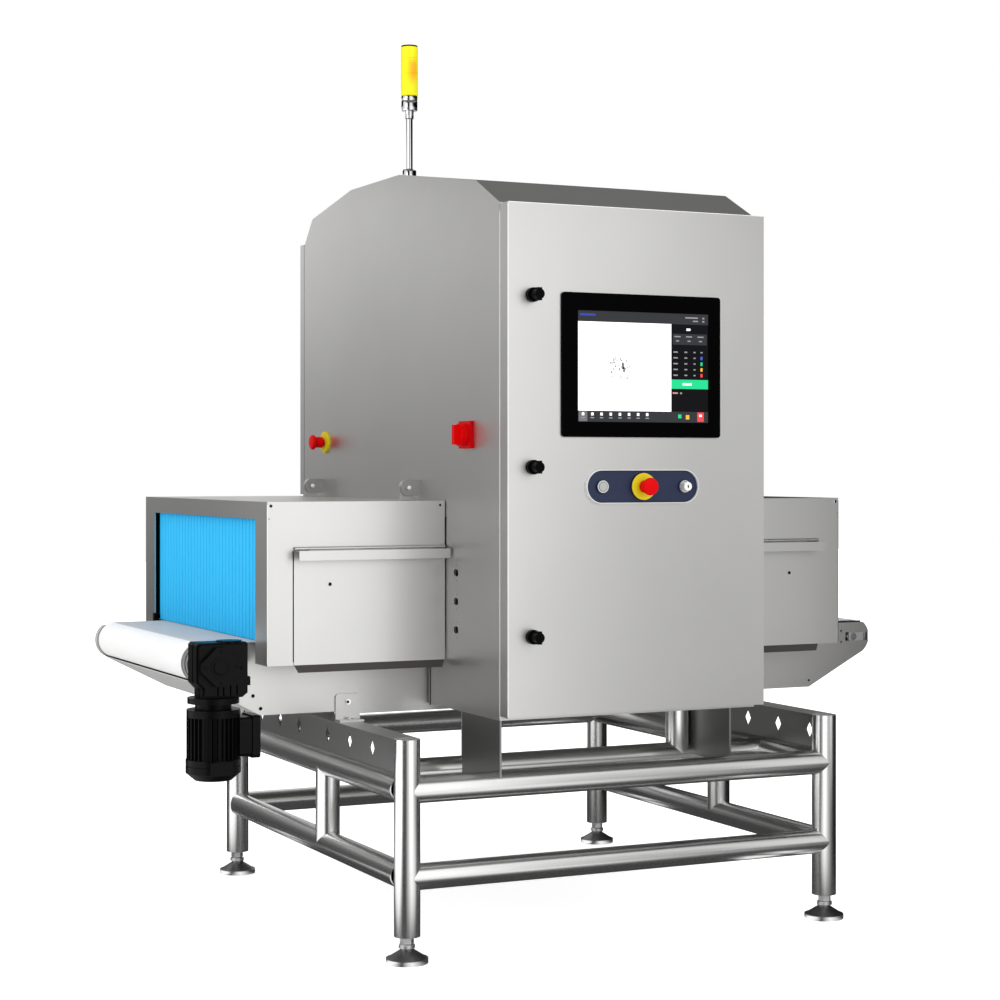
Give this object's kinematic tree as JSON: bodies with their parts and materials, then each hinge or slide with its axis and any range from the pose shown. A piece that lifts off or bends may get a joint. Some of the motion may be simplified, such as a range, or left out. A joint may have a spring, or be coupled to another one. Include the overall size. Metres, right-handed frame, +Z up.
{
  "type": "x-ray inspection machine",
  "caption": "Floor-standing conveyor x-ray inspection machine: tall cabinet with operator panel over a belt, lift-up shielding hoods with strip curtains, tubular frame.",
  "frame": {"origin": "middle of the machine's outer box, on the floor under the levelling feet", "axes": "+Z up, +X along the belt away from the gear motor, +Y from the operator's door towards the rear cover"},
  "size_m": [1.9856, 1.48, 2.24],
  "materials": {
    "polished_tube": "polished stainless steel tube",
    "bright_steel": "bright machined stainless steel",
    "satin_sheet": "bead-blasted stainless steel sheet",
    "side_sheet": "bead-blasted stainless steel sheet",
    "inner_sheet": "plain stainless steel sheet",
    "shield_lead": "painted shielding sheet with lead inside",
    "grey_casting": "painted alloy casting",
    "module_dark": "dark moulded electrical housings",
    "lens": "tinted moulded lenses, yellow and orange",
    "switch_yellow": "yellow moulded switch bases",
    "gasket_rubber": "black rubber",
    "black_plastic": "black moulded plastic",
    "screen": "lit display behind glass",
    "navy_plate": "dark blue enamelled plate",
    "stop_red": "red moulded plastic",
    "curtain_blue": "sky-blue flexible shielding strips",
    "belt_white": "white food-grade belt",
    "motor_black": "black painted alloy castings",
    "drum_steel": "turned drum, a thick tube with end discs"
  },
  "bodies": {
    "machine": {"corner_legs": "polished_tube", "foot_pads": "bright_steel", "foot_spindles": "bright_steel", "foot_nuts": "bright_steel", "long_rails": "polished_tube", "side_rails": "polished_tube", "frame_posts": "polished_tube", "gusset_plates": "side_sheet", "side_beams": "side_sheet", "conveyor_brackets": "satin_sheet", "bracket_bolts": "bright_steel", "left_side_panel": "side_sheet", "right_side_panel": "satin_sheet", "roof_panel": "side_sheet", "front_frame": "satin_sheet", "rear_panel": "satin_sheet", "cabinet_floor": "satin_sheet", "tunnel_liner": "shield_lead", "tunnel_floor": "satin_sheet", "generator_cradle": "inner_sheet", "xray_generator": "grey_casting", "collimator": "shield_lead", "detector_array": "module_dark", "mounting_plate": "inner_sheet", "control_modules": "module_dark", "tower_pole": "polished_tube", "tower_lenses": "lens", "hood_lugs": "satin_sheet", "side_switch_plates": "switch_yellow", "hinge_brackets": "bright_steel", "conveyor_plates": "satin_sheet", "slider_bed": "inner_sheet", "conveyor_belt": "belt_white", "drum_bearings": "grey_casting", "end_covers": "satin_sheet", "gearbox": "motor_black", "gear_motor": "motor_black"},
    "front_door": {"front_door": "satin_sheet", "door_gasket": "gasket_rubber", "monitor_housing": "black_plastic", "screen_glass": "screen", "control_plate": "navy_plate"},
    "front_estop": {"front_estop_button": "stop_red"},
    "start_button": {"start_button": "bright_steel"},
    "key_switch": {"key_switch": "bright_steel"},
    "side_estop": {"side_estop_button": "stop_red"},
    "main_switch": {"main_switch_handle": "stop_red"},
    "latch_top": {"latch_top": "black_plastic"},
    "latch_middle": {"latch_middle": "black_plastic"},
    "latch_bottom": {"latch_bottom": "black_plastic"},
    "rear_door": {"rear_door": "satin_sheet"},
    "rear_latch": {"rear_latch": "black_plastic"},
    "left_hood": {"left_hood": "satin_sheet"},
    "right_hood": {"right_hood": "satin_sheet"},
    "left_curtain": {"left_curtain": "curtain_blue"},
    "right_curtain": {"right_curtain": "curtain_blue"},
    "left_access_door": {"left_access_door": "satin_sheet"},
    "right_access_door": {"right_access_door": "satin_sheet"},
    "drive_drum": {"drive_drum": "drum_steel"},
    "idler_drum": {"idler_drum": "drum_steel"}
  },
  "joints": [
    {"name": "front_door_hinge", "type": "hinge", "parent": "machine", "child": "front_door", "pos_m": [0.34573, -0.661, 1.158], "axis": [0, 0, 1], "range_deg": [0, 110]},
    {"name": "latch_top_turn", "type": "hinge", "parent": "front_door", "child": "latch_top", "pos_m": [-0.27977, -0.69, 1.542], "axis": [0, 1, 0], "range_deg": [0, 90]},
    {"name": "latch_middle_turn", "type": "hinge", "parent": "front_door", "child": "latch_middle", "pos_m": [-0.27977, -0.69, 1.141], "axis": [0, 1, 0], "range_deg": [0, 90]},
    {"name": "latch_bottom_turn", "type": "hinge", "parent": "front_door", "child": "latch_bottom", "pos_m": [-0.27977, -0.69, 0.746], "axis": [0, 1, 0], "range_deg": [0, 90]},
    {"name": "front_estop_press", "type": "slide", "parent": "front_door", "child": "front_estop", "axis": [0, 1, 0], "range_m": [0, 0.005], "stiffness_N_per_m": 800},
    {"name": "start_button_press", "type": "slide", "parent": "front_door", "child": "start_button", "axis": [0, 1, 0], "range_m": [0, 0.003], "stiffness_N_per_m": 600},
    {"name": "key_switch_turn", "type": "hinge", "parent": "front_door", "child": "key_switch", "pos_m": [0.12523, -0.693, 1.095], "axis": [0, 1, 0], "range_deg": [0, 90]},
    {"name": "side_estop_press", "type": "slide", "parent": "machine", "child": "side_estop", "axis": [1, 0, 0], "range_m": [0, 0.005], "stiffness_N_per_m": 800},
    {"name": "main_switch_turn", "type": "hinge", "parent": "machine", "child": "main_switch", "pos_m": [-0.34177, -0.467, 1.219], "axis": [1, 0, 0], "range_deg": [0, 90]},
    {"name": "rear_door_hinge", "type": "hinge", "parent": "machine", "child": "rear_door", "pos_m": [0.34573, 0.684, 1.423], "axis": [0, 0, -1], "range_deg": [0, 110]},
    {"name": "rear_latch_turn", "type": "hinge", "parent": "rear_door", "child": "rear_latch", "pos_m": [-0.27977, 0.698, 1.4], "axis": [0, -1, 0], "range_deg": [0, 90]},
    {"name": "left_hood_lift", "type": "hinge", "parent": "machine", "child": "left_hood", "pos_m": [-0.37677, 0.17, 1.089], "axis": [0, 1, 0], "range_deg": [0, 90]},
    {"name": "right_hood_lift", "type": "hinge", "parent": "machine", "child": "right_hood", "pos_m": [0.38923, 0.17, 1.089], "axis": [0, -1, 0], "range_deg": [0, 90]},
    {"name": "left_curtain_swing", "type": "hinge", "parent": "left_hood", "child": "left_curtain", "pos_m": [-0.78777, 0.17, 1.032], "axis": [0, 1, 0], "range_deg": [-30, 30]},
    {"name": "right_curtain_swing", "type": "hinge", "parent": "right_hood", "child": "right_curtain", "pos_m": [0.80023, 0.17, 1.032], "axis": [0, -1, 0], "range_deg": [-30, 30]},
    {"name": "left_access_door_lift", "type": "hinge", "parent": "left_hood", "child": "left_access_door", "pos_m": [-0.54177, -0.3395, 0.9465], "axis": [-1, 0, 0], "range_deg": [0, 90]},
    {"name": "right_access_door_lift", "type": "hinge", "parent": "right_hood", "child": "right_access_door", "pos_m": [0.55423, -0.3395, 0.9465], "axis": [-1, 0, 0], "range_deg": [0, 90]},
    {"name": "drive_drum_spin", "type": "hinge", "parent": "machine", "child": "drive_drum", "pos_m": [-0.92777, 0.17, 0.673], "axis": [0, 1, 0], "continuous": true},
    {"name": "idler_drum_spin", "type": "hinge", "parent": "machine", "child": "idler_drum", "pos_m": [0.94023, 0.17, 0.673], "axis": [0, 1, 0], "continuous": true}
  ],
  "couplings": [
    {"joint": "idler_drum_spin", "follows": "drive_drum_spin", "ratio": 1}
  ]
}
